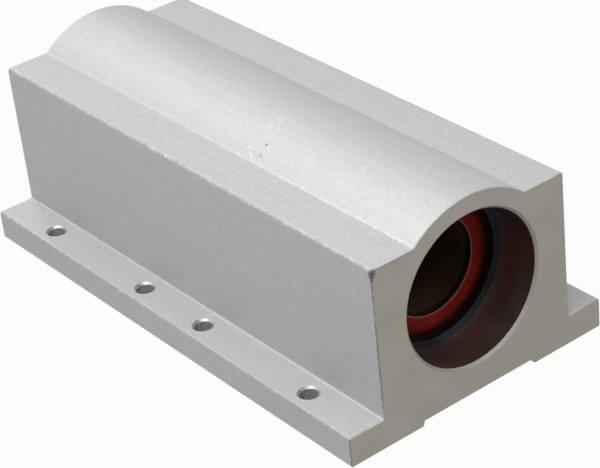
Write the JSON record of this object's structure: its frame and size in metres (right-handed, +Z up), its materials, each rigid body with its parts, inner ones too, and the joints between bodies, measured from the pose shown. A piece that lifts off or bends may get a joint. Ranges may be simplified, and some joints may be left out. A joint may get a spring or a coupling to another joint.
{
  "type": "twin pillow block bearing",
  "caption": "Long flanged aluminium block with an arched top that guides a sliding shaft in a pair of lined sleeve bearings, sealed and retained at both ends.",
  "frame": {"origin": "centre of the mounting face under the base", "axes": "+Z up from the mounting face, Y along the shaft with the front end at -Y, X across the flanges"},
  "size_m": [0.1206, 0.2286, 0.0825],
  "materials": {
    "housing_aluminium": "clear anodised, fine matte grain",
    "sleeve_aluminium": "hard anodised, turned",
    "liner_polymer": "smooth low-friction lining",
    "seal_rubber": "satin red",
    "ring_rubber": "matte black",
    "spring_steel": "dark oxide, lightly oiled"
  },
  "bodies": {
    "root": {"housing": "housing_aluminium", "front_bearing_sleeve": "sleeve_aluminium", "front_bearing_liner": "liner_polymer", "front_outer_o_ring": "ring_rubber", "front_inner_o_ring": "ring_rubber", "front_shaft_seal": "seal_rubber", "front_outer_retaining_ring": "spring_steel", "front_inner_retaining_ring": "spring_steel", "rear_bearing_sleeve": "sleeve_aluminium", "rear_bearing_liner": "liner_polymer", "rear_outer_o_ring": "ring_rubber", "rear_inner_o_ring": "ring_rubber", "rear_shaft_seal": "seal_rubber", "rear_outer_retaining_ring": "spring_steel", "rear_inner_retaining_ring": "spring_steel"}
  },
  "joints": []
}
